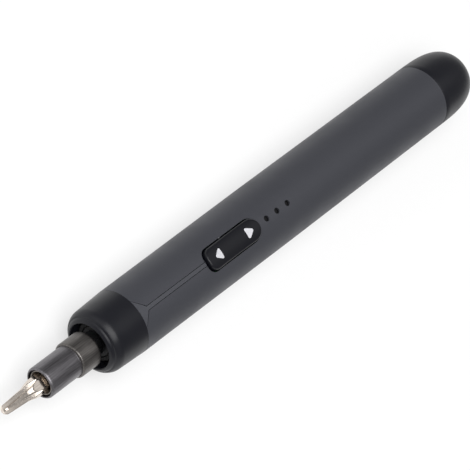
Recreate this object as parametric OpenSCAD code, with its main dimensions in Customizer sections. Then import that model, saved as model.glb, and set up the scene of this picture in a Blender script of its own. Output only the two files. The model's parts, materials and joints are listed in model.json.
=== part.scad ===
// Pen-shaped electric torque screwdriver, laid on its side with the rocker button up.
// The tool's axis runs along X: the bit points to -X and the domed tail to +X.
// "Station" means the distance along the axis from the joint between nose cap and body
// tube, positive towards the tail. "Height" means the distance above the tool's axis.

/* [Body tube] */
// Outer diameter of the straight part of the body tube
body_d = 17.5; // [17:0.1:20]
// Outer diameter of the body tube where it meets the nose cap
joint_d = 17; // [16.6:0.1:17]
// Length of the body tube
body_l = 115.5; // [112:0.5:140]
// Length over which the tube widens behind the nose cap
taper_l = 52; // [30:1:54]
// Wall of the straight part of the body tube
shell_wall = 1.35; // [1.2:0.05:1.5]

/* [Caps] */
// Length of the nose cap in front of the body tube
nose_l = 11.2; // [10:0.1:14]
// Outer radius of the nose cap behind its rounded lip
lip_r = 8.16; // [7.9:0.02:8.3]
// Length of the lip's rounding
lip_round_l = 3.44; // [2.5:0.02:4]
// How far the lip's rounding would reach inward if it ran to the flat
lip_round_r = 3.87; // [3:0.01:4.4]
// Radius of the recess round the chuck, at its mouth
recess_mouth_r = 6.1; // [5.6:0.05:6.4]
// Radius of the recess at its floor
recess_floor_r = 5.3; // [5:0.05:5.5]
// Depth of the recess
recess_depth = 3.4; // [2.5:0.1:3.8]
// Thickness of the nose cap's front wall behind the recess
nose_wall = 1.5; // [1:0.1:2]
// Width of the shadow groove round the nose cap
nose_groove_w = 0.4; // [0.2:0.05:0.8]
// Depth of the shadow groove round the nose cap
nose_groove_depth = 0.3; // [0.1:0.05:0.5]
// Length of the tail cap behind the body tube
tail_l = 15.6; // [13:0.1:20]
// Length of the dome's curve, which starts just ahead of the tail cap's joint
dome_l = 15.4; // [10:0.1:15.5]
// Squareness of the dome's curve: 2 is an ellipse, more is squarer
dome_power = 3.3; // [2:0.1:4]
// Wall of the tail cap
tail_wall = 1.6; // [1.2:0.1:2]

/* [Key strip and rocker button] */
// Width of the key strip that fills the slot between nose cap and button
key_w = 0.9; // [0.6:0.05:1.4]
// Half width of the key strip's flared front end
flare_half_w = 3.45; // [2:0.05:4]
// Length of the flare
flare_l = 2.5; // [1.5:0.1:4]
// Gap on each side of the key strip
seam_gap = 0.12; // [0.06:0.01:0.2]
// Station of the button's front end
button_start = 23.5; // [22.5:0.1:25]
// Length of the rocker button
button_l = 18.7; // [16:0.1:20]
// Width of the rocker button
button_w = 5.6; // [4.8:0.1:6]
// How far the button's ends stand proud of the body
button_proud = 0.95; // [0.5:0.05:1.4]
// How much lower the button is at its middle
button_dish = 0.5; // [0.2:0.05:0.7]
// Corner radius of the button's front end
button_corner_r = 2; // [1.2:0.1:2.3]
// Rounding of the button's upper edge
button_edge_r = 0.45; // [0.2:0.05:0.6]
// Gap round the button in its window
window_gap = 0.28; // [0.2:0.02:0.4]
// Distance of each arrow's middle from the button's middle
arrow_reach = 5.6; // [4:0.1:6.2]
// Length of an arrow along the tool
arrow_l = 2.3; // [1.6:0.1:3]
// Width of an arrow across the tool
arrow_w = 3; // [2:0.1:3.8]
// Corner radius of an arrow
arrow_corner_r = 0.35; // [0.2:0.05:0.5]
// Thickness of an arrow inlay
arrow_t = 0.5; // [0.3:0.05:0.8]
// Radius of the button's pivot pin
pivot_pin_r = 0.6; // [0.5:0.05:0.7]
// Height of the pivot pin
pivot_height = 5.35; // [5.2:0.05:5.5]
// Distance of each snap dome from the pivot
dome_reach = 6.4; // [5:0.1:7]

/* [Indicators] */
// Number of indicator holes
indicator_count = 3; // [1:1:3]
// Distance between indicator holes
indicator_pitch = 3.92; // [3:0.02:4]
// Distance from the button's rear end to the first indicator hole
indicator_gap = 3.3; // [2.6:0.1:4]
// Radius of an indicator hole
indicator_r = 0.75; // [0.5:0.05:0.9]
// How deep each light pipe's end lies below the body's surface
indicator_sink = 0.5; // [0.2:0.05:0.8]

/* [Chassis, board and cell] */
// Wall of the chassis round the gearbox and the motor
chassis_wall = 0.9; // [0.8:0.05:1.1]
// Thickness of a chassis bulkhead
bulkhead_t = 1.2; // [1:0.1:1.6]
// Length of the circuit board
board_l = 33.5; // [31:0.1:34]
// Width of the circuit board
board_w = 10.6; // [9:0.1:11]
// Thickness of the circuit board
board_t = 1; // [0.8:0.1:1.2]
// Height of the circuit board's top face
board_height = 4.2; // [4:0.05:4.25]
// Diameter of the cell
cell_d = 10; // [9:0.1:10.4]
// Length of the cell
cell_l = 44; // [38:0.5:45]
// Length of the charging board
charge_board_l = 12; // [10:0.5:13]
// Width of the charging board
charge_board_w = 9.6; // [9:0.1:10]
// Width of the charging socket's shell
usb_w = 8.94; // [8.5:0.02:9]
// Height of the charging socket's shell
usb_h = 3.26; // [3:0.02:3.4]
// Length of the charging socket's shell
usb_l = 7.3; // [6:0.1:8]
// How far the charging socket's shell stands out past its board
usb_overhang = 3.5; // [3:0.1:4.5]
// Sheet thickness of the charging socket's shell
usb_sheet = 0.3; // [0.2:0.05:0.35]

/* [Motor and gearbox] */
// Length of the motor can
motor_l = 15.4; // [12:0.1:15.8]
// Radius of the motor's shaft
motor_shaft_r = 0.5; // [0.4:0.05:0.6]
// Teeth of each sun gear
sun_teeth = 9; // [9:3:12]
// Teeth of each planet gear
planet_teeth = 12; // [12:3:15]
// Planets in each stage
planet_count = 3; // [3:1:3]
// Width of a planet gear
planet_w = 2.3; // [1.8:0.1:2.6]
// Wall of the ring gear outside its tooth roots
ring_wall = 0.75; // [0.6:0.05:1]
// Pressure angle of the teeth
pressure_angle = 25; // [22:1:27]
// Thinning of each tooth, which leaves the running play
tooth_play = 0.05; // [0.03:0.01:0.08]
// Thickness of a planet carrier
carrier_t = 1; // [0.8:0.1:1.3]
// Radius of a planet's pin
planet_pin_r = 0.5; // [0.4:0.05:0.6]
// Radius of the spindle's shaft
spindle_r = 3; // [2.8:0.05:3.2]
// Radius of the spindle's bush
bush_r = 4.2; // [3.9:0.05:4.4]

/* [Chuck and bit] */
// Station of the chuck sleeve's front end, in front of the nose joint
chuck_front = 27.4; // [25:0.1:30]
// Outer radius of the chuck sleeve
sleeve_r = 3.98; // [3.8:0.02:4.2]
// Station of the chuck collar's front end, in front of the nose joint
collar_front = 17.5; // [16:0.1:18.5]
// Length of the chuck collar
collar_l = 6; // [5:0.1:6.4]
// Outer radius of the chuck collar
collar_r = 4.52; // [4.4:0.02:4.8]
// Chamfer at the collar's ends
collar_chamfer = 0.35; // [0.2:0.05:0.5]
// Rounding of the sleeve's front edge
sleeve_round = 0.5; // [0.3:0.05:0.6]
// Outer radius of the hexagon liner
liner_r = 3.1; // [2.9:0.05:3.2]
// Width of the dark gap round the liner's mouth
mouth_gap = 0.35; // [0.2:0.05:0.4]
// Depth of the dark gap round the liner's mouth
mouth_gap_depth = 1.4; // [0.8:0.1:2]
// How far the liner's mouth lies behind the sleeve's front
liner_sink = 0.45; // [0.2:0.05:0.8]
// Width across flats of the bit's shank
bit_af = 4; // [3.8:0.05:4]
// Length of the bit
bit_l = 28; // [25:0.1:30]
// Length of the bit that stands out of the chuck
bit_reach = 12.1; // [10:0.1:13]
// Length of the shank's hexagon that stands out of the chuck
bit_hex_out = 1.3; // [0.8:0.1:2]
// Radius of the bit's round blade at its root
blade_root_r = 1.56; // [1.4:0.02:1.8]
// Radius of the bit's round blade near its tip
blade_tip_r = 1.2; // [1:0.02:1.3]
// Width of the bit's cross blades
blade_w = 0.62; // [0.4:0.02:0.8]
// Length of the magnet behind the bit
magnet_l = 1.8; // [1.2:0.1:2]

/* [Fits] */
// Play between pieces that are pressed or glued together
seat_gap = 0.03; // [0.01:0.01:0.05]
// Radial play of a running fit
run_gap = 0.04; // [0.02:0.01:0.06]
// Play between flat faces that turn past each other
face_gap = 0.25; // [0.2:0.05:0.3]
// Play of the bit's hexagon in its socket, on each flat
hex_gap = 0.05; // [0.03:0.01:0.08]

/* [Hidden] */

$fn = 96;
pin_fn = 40;
cut = 0.5;

// Body tube and what it holds
body_r = body_d / 2;
joint_r = joint_d / 2;
bore_r = body_r - shell_wall;
chassis_r = bore_r - seat_gap;
case_bore_r = chassis_r - chassis_wall;
case_r = case_bore_r - seat_gap;
mid_x = (body_l + tail_l - chuck_front - bit_reach) / 2;

// Gears: the tooth size follows from the room inside the gear case
ring_teeth = sun_teeth + 2 * planet_teeth;
addendum = 0.8;
dedendum = 1.05;
tooth_size = (case_r - ring_wall) / (ring_teeth / 2 + dedendum);
planet_orbit = tooth_size * (sun_teeth + planet_teeth) / 2;
carrier_r = planet_orbit + 2 * planet_pin_r + 0.1;
ring_tip_r = tooth_size * (ring_teeth / 2 - addendum);
flank_steps = 3;

// Stations along the gearbox, from the nose's front wall to the motor
recess_floor = -nose_l + recess_depth;
bush_front = recess_floor;
bush_back = bush_front + nose_wall + 1.6;
washer_t = 0.4;
carrier_2_front = bush_back + washer_t + face_gap;
planets_2_front = carrier_2_front + carrier_t + face_gap;
carrier_1_front = planets_2_front + planet_w + face_gap;
planets_1_front = carrier_1_front + carrier_t + face_gap;
ring_back = planets_1_front + planet_w + face_gap;
plate_t = 0.8;
motor_front = ring_back + plate_t;
motor_r = case_r - 0.4;
motor_back = motor_front + motor_l;
motor_end_t = 1.4;
terminal_l = 1.1;

// Chassis
chassis_front = recess_floor + nose_wall + seat_gap;
sleeve_back = motor_back + motor_end_t - seat_gap;
board_start = sleeve_back + 0.5;
board_end = board_start + board_l;
ledge_height = board_height - board_t;
bulkhead_1 = board_end + 0.2;
cell_start = bulkhead_1 + bulkhead_t + 0.4;
cell_end = cell_start + cell_l;
bulkhead_2 = cell_end + 0.4;
cell_height = cell_d / 2 - case_bore_r + seat_gap;
cell_can_r = cell_d / 2;
usb_back = body_l + tail_l - usb_l - 0.3;
charge_board_t = 0.8;
charge_board_height = usb_h / 2 + charge_board_t;
charge_board_start = usb_back + usb_l - usb_overhang - charge_board_l;
chassis_back = body_l + 3;

// Button
pivot_x = button_start + button_l / 2;
button_top_r = body_r + button_proud;
ear_inner = button_w / 2 + window_gap;
ear_w = 0.7;
ear_l = 2.6;
ear_top = pivot_height + pivot_pin_r + 0.3;
button_floor = pivot_height + 0.3;
hub_r = pivot_pin_r + 0.45;
snap_dome_h = 0.5;
snap_dome_r = 1.9;
plunger_r = 0.8;
plunger_gap = 0.08;

// Chuck and bit
bit_tip = -chuck_front - bit_reach;
bit_back = bit_tip + bit_l;
hex_socket_r = (bit_af / 2 + hex_gap) / cos(30);
sleeve_bore_r = liner_r + mouth_gap;
head_r = liner_r;
head_front = -collar_front + 0.4;
sleeve_end = -collar_front + 1.2;
collar_back = -collar_front + collar_l;
magnet_r = bit_af / 2 - 0.1;
groove_r = spindle_r - 0.35;
retainer_r = spindle_r + 0.85;
retainer_t = 0.5;

// ---- helpers ----

// Puts what is drawn along Z at a station on the tool's axis
module axial(station, height = 0) {
    translate([station - mid_x, 0, body_r + height])
        rotate([0, 90, 0])
            children();
}

// Turns an outline of [station, radius] points about the tool's axis
module turned(outline) {
    translate([-mid_x, 0, body_r])
        rotate([0, 90, 0])
            rotate_extrude()
                polygon([for (p = outline) [p[1], p[0]]]);
}

// A plain turned ring between two stations
module ring(start, end, outer, inner) {
    turned([[start, inner], [start, outer], [end, outer], [end, inner]]);
}

// A rod along the tool's axis
module rod(start, end, radius, height = 0, side = 0) {
    translate([0, side, 0])
        axial(start, height)
            cylinder(h = end - start, r = radius, $fn = pin_fn);
}

// Raises an outline drawn in station and side between two heights
module raised(low, high) {
    translate([-mid_x, 0, body_r + low])
        linear_extrude(high - low)
            children();
}

// A block centred across the tool
module block(start, end, width, low, high, side = 0) {
    raised(low, high)
        translate([start, side - width / 2])
            square([end - start, width]);
}

// The body's outer surface as a turned solid, with the radius changed by grow
module body_envelope(grow = 0) {
    turned([[-1, 0], [-1, joint_r + grow], [0, joint_r + grow], [taper_l, body_r + grow],
            [body_l + 1, body_r + grow], [body_l + 1, 0]]);
}

// Part of a superellipse from its shoulder to its crown, as [along, radius] pairs
function dome_curve(length, radius, power, steps) =
    [for (i = [0 : steps])
        let (a = 90 * i / steps)
        [length * pow(sin(a), 2 / power), radius * pow(cos(a), 2 / power)]];

// ---- body tube, caps and chassis ----

// Key strip in plan, from the nose joint back to the button's window, swollen by grow
module key_outline(grow = 0) {
    half = key_w / 2 + grow;
    polygon([[-cut, flare_half_w + grow + cut], [0, flare_half_w + grow], [flare_l + grow, half],
             [button_start + 1, half], [button_start + 1, -half], [flare_l + grow, -half],
             [0, -flare_half_w - grow], [-cut, -flare_half_w - grow - cut]]);
}

// Rocker button in plan, swollen by grow: squarish front end, fully round rear end
module button_outline(grow = 0) {
    half = button_w / 2;
    front_x = button_start + button_corner_r;
    corner_y = half - button_corner_r;
    rear_x = button_start + button_l - half;
    for (side = [-1, 1])
        translate([front_x, side * corner_y])
            circle(button_corner_r + grow, $fn = 48);
    translate([button_start - grow, -corner_y])
        square([button_corner_r, 2 * corner_y]);
    translate([front_x, -half - grow])
        square([rear_x - front_x, 2 * (half + grow)]);
    translate([rear_x, 0])
        circle(half + grow, $fn = 48);
}

// Station of one indicator, counted from the button
function indicator_x(i) = button_start + button_l + indicator_gap + i * indicator_pitch;

module body_shell() {
    color("#515257")
        difference() {
            turned([[0, bore_r], [0, joint_r], [taper_l, body_r], [body_l, body_r],
                    [body_l, bore_r]]);
            raised(0, body_r + cut)
                key_outline(seam_gap);
            raised(0, body_r + cut)
                button_outline(window_gap);
            for (i = [0 : indicator_count - 1])
                translate([indicator_x(i) - mid_x, 0, body_r])
                    cylinder(h = body_r + cut, r = indicator_r, $fn = pin_fn);
        }
}

// One pivot ear, standing through the board's notch
module pivot_ear(side) {
    foot = chassis_r - ear_inner;
    block(pivot_x - ear_l / 2, pivot_x + ear_l / 2, ear_w, 0, ear_top,
          side * (ear_inner + ear_w / 2));
    block(pivot_x - ear_l / 2, pivot_x + ear_l / 2, foot, 0, ledge_height,
          side * (ear_inner + foot / 2));
}

// Hollows of the chassis: the gear case and motor bay, the cell's bay, the tail's bay, and the
// open top over the board and the cell
module chassis_hollows() {
    bays = [[chassis_front - cut, bulkhead_1], [bulkhead_1 + bulkhead_t, bulkhead_2],
            [bulkhead_2 + bulkhead_t, chassis_back + cut]];
    for (bay = bays)
        axial(bay[0])
            cylinder(h = bay[1] - bay[0], r = case_bore_r);
    block(sleeve_back, chassis_back + cut, body_d, ledge_height, body_d);
    for (wall = [bulkhead_1, bulkhead_2])
        rod(wall - cut, wall + bulkhead_t + cut, chassis_r / 3, cell_height);
}

// What stands inside the hollows: ledges, posts and ears for the board, rails at the tail
module chassis_inner() {
    ledge_t = 1.2;
    ledge_w = chassis_r - board_w / 2 + ledge_t;
    rail_w = chassis_r - charge_board_w / 2 + 1;
    for (side = [-1, 1]) {
        block(board_start, board_end, ledge_w, ledge_height - ledge_t, ledge_height,
              side * (chassis_r - ledge_w / 2));
        block(charge_board_start - 0.5, chassis_back + cut, rail_w, usb_h / 2 - ledge_t,
              usb_h / 2, side * (chassis_r - rail_w / 2));
        pivot_ear(side);
    }
    for (screw = board_screw_spots())
        translate([screw[0] - mid_x, screw[1], body_r - chassis_r])
            cylinder(h = chassis_r + ledge_height, r = board_screw_r + 0.8, $fn = pin_fn);
}

// The strip and its flare, level with the body's surface, rooted in the chassis wall
module key_strip() {
    intersection() {
        body_envelope();
        difference() {
            raised(0, body_r)
                intersection() {
                    key_outline();
                    translate([0, -body_r])
                        square([button_start - window_gap, body_d]);
                }
            axial(-1)
                cylinder(h = button_start + 2, r = chassis_r - chassis_wall / 2);
        }
    }
}

module chassis() {
    color("#4a4b50")
        difference() {
            union() {
                difference() {
                    axial(chassis_front)
                        cylinder(h = chassis_back - chassis_front, r = chassis_r);
                    difference() {
                        chassis_hollows();
                        chassis_inner();
                    }
                }
                key_strip();
            }
            axial(pivot_x, pivot_height)
                rotate([90, 0, 0])
                    cylinder(h = body_d, r = pivot_pin_r + seat_gap, center = true, $fn = pin_fn);
            for (screw = board_screw_spots())
                translate([screw[0] - mid_x, screw[1], body_r + ledge_height - 3])
                    cylinder(h = 3 + cut, r = board_screw_r, $fn = pin_fn);
        }
}

module nose_cap() {
    steps = 10;
    lip_start = -nose_l + lip_round_l;
    mouth_angle = acos((recess_mouth_r - lip_r + lip_round_r) / lip_round_r);
    mouth_x = lip_start - lip_round_l * sin(mouth_angle);
    groove_end = lip_start + 0.35;
    groove_start = groove_end + nose_groove_w;
    color("#26272c")
        turned(concat(
            [[0, joint_r], [groove_start, lip_r + 0.08],
             [groove_start - nose_groove_w / 3, lip_r - nose_groove_depth],
             [groove_end, lip_r - nose_groove_depth], [lip_start, lip_r]],
            [for (i = [1 : steps])
                let (a = mouth_angle * i / steps)
                [lip_start - lip_round_l * sin(a), lip_r - lip_round_r * (1 - cos(a))]],
            [[mouth_x + 0.35, recess_mouth_r - 0.3], [recess_floor, recess_floor_r],
             [recess_floor, bush_r + seat_gap], [recess_floor + nose_wall, bush_r + seat_gap],
             [recess_floor + nose_wall, chassis_r + seat_gap],
             [0, chassis_r + seat_gap]]));
}

module nose_seal() {
    inner = retainer_r + face_gap;
    outer = recess_floor_r - 0.1;
    color("#17181b")
        turned([[recess_floor - 0.9, inner], [recess_floor - 0.9, outer - 0.35],
                [recess_floor - 0.55, outer], [recess_floor, outer], [recess_floor, inner]]);
}

module tail_cap() {
    steps = 14;
    shoulder = body_l + tail_l - dome_l;
    inner_l = dome_l - tail_wall;
    outer = dome_curve(dome_l, body_r, dome_power, steps);
    inner = dome_curve(inner_l, chassis_r + seat_gap, dome_power, steps);
    color("#26272c")
        difference() {
            turned(concat(
                [[body_l, chassis_r + seat_gap], [body_l, body_r]],
                [for (p = outer) [shoulder + p[0], p[1]]],
                [for (i = [steps : -1 : 0]) [shoulder + inner[i][0], inner[i][1]]]));
            axial(usb_back + usb_l / 2)
                linear_extrude(usb_l + 2)
                    rotate(90)
                        usb_outline(seat_gap);
        }
}

// ---- charging socket and its board ----

// Mouth of the charging socket: a slot with round ends, wider than it is high
module usb_outline(grow = 0) {
    half_h = usb_h / 2 + grow;
    reach = usb_w / 2 + grow - half_h;
    for (side = [-1, 1])
        translate([side * reach, 0])
            circle(half_h, $fn = 48);
    square([2 * reach, 2 * half_h], center = true);
}

module usb_shell() {
    color("#b9babd")
        axial(usb_back)
            rotate(90)
                difference() {
                    linear_extrude(usb_l)
                        usb_outline();
                    translate([0, 0, 1])
                        linear_extrude(usb_l)
                            usb_outline(-usb_sheet);
                }
}

module usb_tongue() {
    color("#1b1c1f")
        block(usb_back + 1, usb_back + usb_l - 0.7, usb_w - 2.2, -0.35, 0.35);
}

module charge_board() {
    color("#1f5f3c")
        block(charge_board_start, charge_board_start + charge_board_l, charge_board_w,
              usb_h / 2, charge_board_height);
}

// Insulated leads from the main board over the cell, each with its pin in the charging board
module charge_leads() {
    lead_r = 0.45;
    lead_side = 2;
    lead_end = charge_board_start + 2;
    color("#a8332c")
        for (side = [-1, 1])
            union() {
                rod(board_end - 3, lead_end, lead_r, board_height + lead_r, side * lead_side);
                translate([lead_end - 1 - mid_x, side * lead_side, body_r + charge_board_height])
                    cylinder(h = board_height + lead_r - charge_board_height, r = 0.3,
                             $fn = pin_fn);
            }
}

// ---- main board ----

board_screw_r = 0.7;

// Where the two board screws sit, as [station, side]
function board_screw_spots() = [for (side = [-1, 1]) [board_end - 1.8, side * 3.9]];

module circuit_board() {
    notch_l = ear_l + 0.4;
    color("#1f5f3c")
        difference() {
            block(board_start, board_end, board_w, ledge_height, board_height);
            for (side = [-1, 1])
                block(pivot_x - notch_l / 2, pivot_x + notch_l / 2, board_w, 0, body_r,
                      side * (ear_inner - 0.2 + board_w / 2));
            for (screw = board_screw_spots())
                translate([screw[0] - mid_x, screw[1], body_r])
                    cylinder(h = body_r, r = board_screw_r + seat_gap, $fn = pin_fn);
        }
}

// Motor driver and controller under the board, choke and capacitors on top near the rear
module board_chips() {
    below = ledge_height;
    color("#202124")
        union() {
            block(board_start + 3, board_start + 8, 5, below - 1.1, below);
            block(board_start + 11, board_start + 15, 4, below - 0.9, below);
            block(board_start + 18.5, board_start + 22.5, 4, below - 1.9, below);
            for (i = [0 : 2])
                block(board_start + 24.5 + 1.5 * i, board_start + 25.3 + 1.5 * i, 1.6,
                      below - 0.8, below);
        }
}

module board_screws() {
    color("#8f9194")
        for (screw = board_screw_spots())
            translate([screw[0] - mid_x, screw[1], body_r])
                union() {
                    translate([0, 0, board_height])
                        difference() {
                            cylinder(h = 0.6, r = 1.2, $fn = pin_fn);
                            translate([-1.2, -0.15, 0.3])
                                cube([2.4, 0.3, 1]);
                        }
                    translate([0, 0, ledge_height - 2.5])
                        cylinder(h = board_t + 2.5, r = board_screw_r - seat_gap, $fn = pin_fn);
                }
}

module indicator_leds() {
    color("#e9e4c8")
        for (i = [0 : indicator_count - 1])
            block(indicator_x(i) - 0.8, indicator_x(i) + 0.8, 0.9, board_height,
                  board_height + 0.55);
}

// One moulding: a rod up to each indicator hole, a bar that joins them, and two feet
module light_pipe() {
    bar_low = board_height + 1.3;
    bar_start = indicator_x(0) - 1.8;
    bar_end = indicator_x(indicator_count - 1) + 1.8;
    color("#33353a")
        union() {
            for (i = [0 : indicator_count - 1])
                translate([indicator_x(i) - mid_x, 0, body_r + board_height + 0.75])
                    cylinder(h = body_r - board_height - 0.75 - indicator_sink,
                             r = indicator_r - run_gap, $fn = pin_fn);
            block(bar_start, bar_end, 2.4, bar_low, bar_low + 0.8);
            for (station = [bar_start, bar_end - 0.8])
                block(station, station + 0.8, 2.4, board_height, bar_low + 0.8);
        }
}

// ---- rocker button ----

module snap_domes() {
    color("#c9cacc")
        for (side = [-1, 1])
            translate([pivot_x + side * dome_reach - mid_x, 0, body_r + board_height])
                rotate_extrude()
                    polygon([[0, 0.15], [0, snap_dome_h], [0.7, snap_dome_h - 0.05],
                             [1.4, snap_dome_h - 0.2], [snap_dome_r, 0.15], [snap_dome_r, 0],
                             [snap_dome_r - 0.3, 0], [1.2, 0.15]]);
}

module pivot_pin() {
    color("#b9babd")
        axial(pivot_x, pivot_height)
            rotate([90, 0, 0])
                cylinder(h = 2 * (ear_inner + ear_w), r = pivot_pin_r, center = true,
                         $fn = pin_fn);
}

// Height of the button's crown along the tool: low at the middle, rounded at both ends
function crown_r(t, sink) =
    button_top_r - sink - button_dish * pow(cos(90 * t), 2)
    - (abs(t) > 0.95 ? button_edge_r * (1 - sqrt(max(0, 1 - pow((abs(t) - 0.95) / 0.05, 2)))) : 0);

// The crown's surface as a solid turned about the tool's axis, lowered by sink
module button_crown(sink = 0) {
    steps = [-1, -0.985, -0.95, -0.75, -0.55, -0.35, -0.15, 0.15, 0.35, 0.55, 0.75, 0.95, 0.985, 1];
    turned(concat([[button_start, 0]],
        [for (t = steps) [pivot_x + t * button_l / 2, crown_r(t, sink)]],
        [[button_start + button_l, 0]]));
}

// Angle of the outward normal of an edge that runs anticlockwise from a to b
function edge_normal(a, b) = atan2(a[0] - b[0], b[1] - a[1]);

// Outline round circles of radius r at corner points given anticlockwise
function rounded_outline(corners, r, steps) =
    let (n = len(corners))
    [for (i = [0 : n - 1])
        let (here = corners[i],
             start = edge_normal(corners[(i + n - 1) % n], here),
             turn = (edge_normal(here, corners[(i + 1) % n]) - start + 360) % 360)
        for (j = [0 : steps])
            let (a = start + turn * j / steps)
            [here[0] + r * cos(a), here[1] + r * sin(a)]];

// The two arrows in plan: they point away from each other, their corners are round
module arrow_outlines(grow = 0) {
    back = arrow_l / 2 - arrow_corner_r;
    half = arrow_w / 2 - arrow_corner_r;
    point = arrow_l / 2 - arrow_corner_r;
    outline = rounded_outline([[-point, 0], [back, -half], [back, half]],
                              arrow_corner_r + grow, 5);
    for (turn = [0, 180])
        translate([pivot_x, 0])
            rotate(turn)
                translate([-arrow_reach, 0])
                    polygon(outline);
}

// What lies between the button's crown and the same surface lowered by depth
module crown_skin(depth) {
    difference() {
        button_crown();
        button_crown(depth);
    }
}

module rocker_button() {
    color("#232428")
        difference() {
            union() {
                intersection() {
                    raised(button_floor, button_top_r)
                        button_outline();
                    button_crown();
                }
                axial(pivot_x, pivot_height)
                    rotate([90, 0, 0])
                        cylinder(h = button_w - 0.8, r = hub_r, center = true, $fn = 48);
                for (side = [-1, 1])
                    translate([pivot_x + side * dome_reach - mid_x, 0,
                               body_r + board_height + snap_dome_h + plunger_gap])
                        cylinder(h = button_floor - board_height - snap_dome_h, r = plunger_r,
                                 $fn = pin_fn);
            }
            axial(pivot_x, pivot_height)
                rotate([90, 0, 0])
                    cylinder(h = button_w + 1, r = pivot_pin_r + run_gap, center = true,
                             $fn = pin_fn);
            intersection() {
                raised(button_floor, button_top_r + cut)
                    arrow_outlines(seat_gap);
                crown_skin(arrow_t + seat_gap);
            }
        }
}

module arrow_inlays() {
    color("#ecebe8")
        intersection() {
            raised(button_floor, button_top_r + cut)
                arrow_outlines();
            crown_skin(arrow_t);
        }
}

// ---- cell ----

module cell() {
    crimp = 2.2;
    color("#2f5d9a")
        translate([0, 0, cell_height])
            turned([[cell_start + 0.6, 0], [cell_start + 0.6, cell_can_r - 1.6],
                    [cell_start + 0.9, cell_can_r - 0.3], [cell_start + 1.3, cell_can_r],
                    [cell_start + crimp, cell_can_r], [cell_start + crimp + 0.3, cell_can_r - 0.3],
                    [cell_start + crimp + 0.6, cell_can_r], [cell_end - 0.3, cell_can_r],
                    [cell_end, cell_can_r - 0.3], [cell_end, 0]]);
    color("#c9cacc")
        rod(cell_start, cell_start + 0.6, 1.7, cell_height);
}

// Nickel strips: the front one rises from the cell's cap, the other runs over the cell
module cell_tabs() {
    strip = 0.15;
    front_low = ledge_height + 0.1;
    rear_low = cell_height + cell_can_r + 0.1;
    reach = board_end + 0.05;
    color("#c9cacc")
        union() {
            block(cell_start - strip, cell_start, 2.6, cell_height - 1.5, front_low + strip);
            block(reach, cell_start, 2.6, front_low, front_low + strip);
        }
    color("#c9cacc")
        union() {
            block(cell_end, cell_end + strip, 2.6, cell_height - 1.5, rear_low + strip);
            block(reach, cell_end + strip, 2.6, rear_low, rear_low + strip);
        }
}

// ---- motor ----

module motor_can() {
    color("#a9abaf")
        difference() {
            turned([[motor_front, motor_shaft_r + 2 * run_gap], [motor_front, motor_r - 0.5],
                    [motor_front + 0.15, motor_r - 0.15], [motor_front + 0.5, motor_r],
                    [motor_back, motor_r], [motor_back, motor_shaft_r + 2 * run_gap]]);
            for (side = [-1, 1])
                rod(motor_front - cut, motor_front + motor_screw_l, motor_screw_r + seat_gap, 0,
                    side * motor_screw_reach);
        }
}

module motor_end() {
    color("#e4e0d4")
        ring(motor_back, motor_back + motor_end_t, motor_r - 0.4, motor_shaft_r + 2 * run_gap);
}

// Blades that leave the motor's end and rise to the board's underside
module motor_terminals() {
    back = motor_back + motor_end_t;
    blade = 0.35;
    color("#c8a15a")
        for (side = [-1, 1])
            union() {
                block(back, back + terminal_l, 0.9, -blade / 2, blade / 2, side * 2.6);
                block(back + terminal_l - blade, back + terminal_l, 0.9, -blade / 2,
                      ledge_height - seat_gap, side * 2.6);
            }
}

motor_screw_r = 0.6;
motor_screw_l = 2.2;
motor_screw_reach = 3.9;
motor_screw_head_r = 1.1;
motor_screw_head_t = 0.5;

module motor_plate() {
    color("#8f9194")
        difference() {
            ring(ring_back, motor_front, case_r, tooth_size * sun_teeth / 2 + 0.8);
            for (side = [-1, 1]) {
                rod(ring_back - cut, motor_front + cut, motor_screw_r + seat_gap, 0,
                    side * motor_screw_reach);
                rod(ring_back - cut, ring_back + motor_screw_head_t, motor_screw_head_r + seat_gap,
                    0, side * motor_screw_reach);
            }
        }
}

module motor_screws() {
    color("#6d6f73")
        for (side = [-1, 1])
            difference() {
                union() {
                    rod(ring_back + 0.05, ring_back + motor_screw_head_t, motor_screw_head_r, 0,
                        side * motor_screw_reach);
                    rod(ring_back + 0.05, motor_front + motor_screw_l - 0.1, motor_screw_r, 0,
                        side * motor_screw_reach);
                }
                block(ring_back, ring_back + 0.3, 2 * motor_screw_head_r + 0.2, -0.13, 0.13,
                      side * motor_screw_reach);
            }
}

module motor_shaft() {
    color("#c9cacc")
        rod(planets_1_front - 0.05, motor_back + motor_end_t - 0.3, motor_shaft_r);
}

// ---- gears ----

// Involute of an angle, in degrees
function involute(a) = tan(a) * 180 / PI - a;

// Half the angle that a tooth fills at radius r
function half_tooth(teeth, r, play) =
    let (pitch_r = tooth_size * teeth / 2,
         base_r = pitch_r * cos(pressure_angle),
         width = PI * tooth_size / 2 - play,
         a = acos(min(1, base_r / r)))
    width / (2 * pitch_r) * 180 / PI + involute(pressure_angle) - involute(a);

// Outline of a gear whose teeth reach from low to high, in tooth sizes about the pitch circle
function gear_outline(teeth, low, high, play) =
    let (pitch_r = tooth_size * teeth / 2,
         foot = pitch_r + low * tooth_size,
         tip = pitch_r + high * tooth_size,
         start = max(foot, pitch_r * cos(pressure_angle)),
         radii = concat(foot < start ? [foot] : [],
                        [for (i = [0 : flank_steps]) start + (tip - start) * i / flank_steps]),
         n = len(radii))
    [for (tooth = [0 : teeth - 1])
        for (i = [0 : 2 * n - 1])
            let (r = i < n ? radii[i] : radii[2 * n - 1 - i],
                 side = i < n ? -1 : 1,
                 a = tooth * 360 / teeth + side * half_tooth(teeth, max(r, start), play))
            [r * cos(a), r * sin(a)]];

// A straight-toothed gear on the axis, from one station to another
module gear(start, end, teeth, bore) {
    axial(start)
        difference() {
            linear_extrude(end - start)
                polygon(gear_outline(teeth, -dedendum, addendum, tooth_play));
            translate([0, 0, -cut])
                cylinder(h = end - start + 2 * cut, r = bore, $fn = pin_fn);
        }
}

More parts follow.
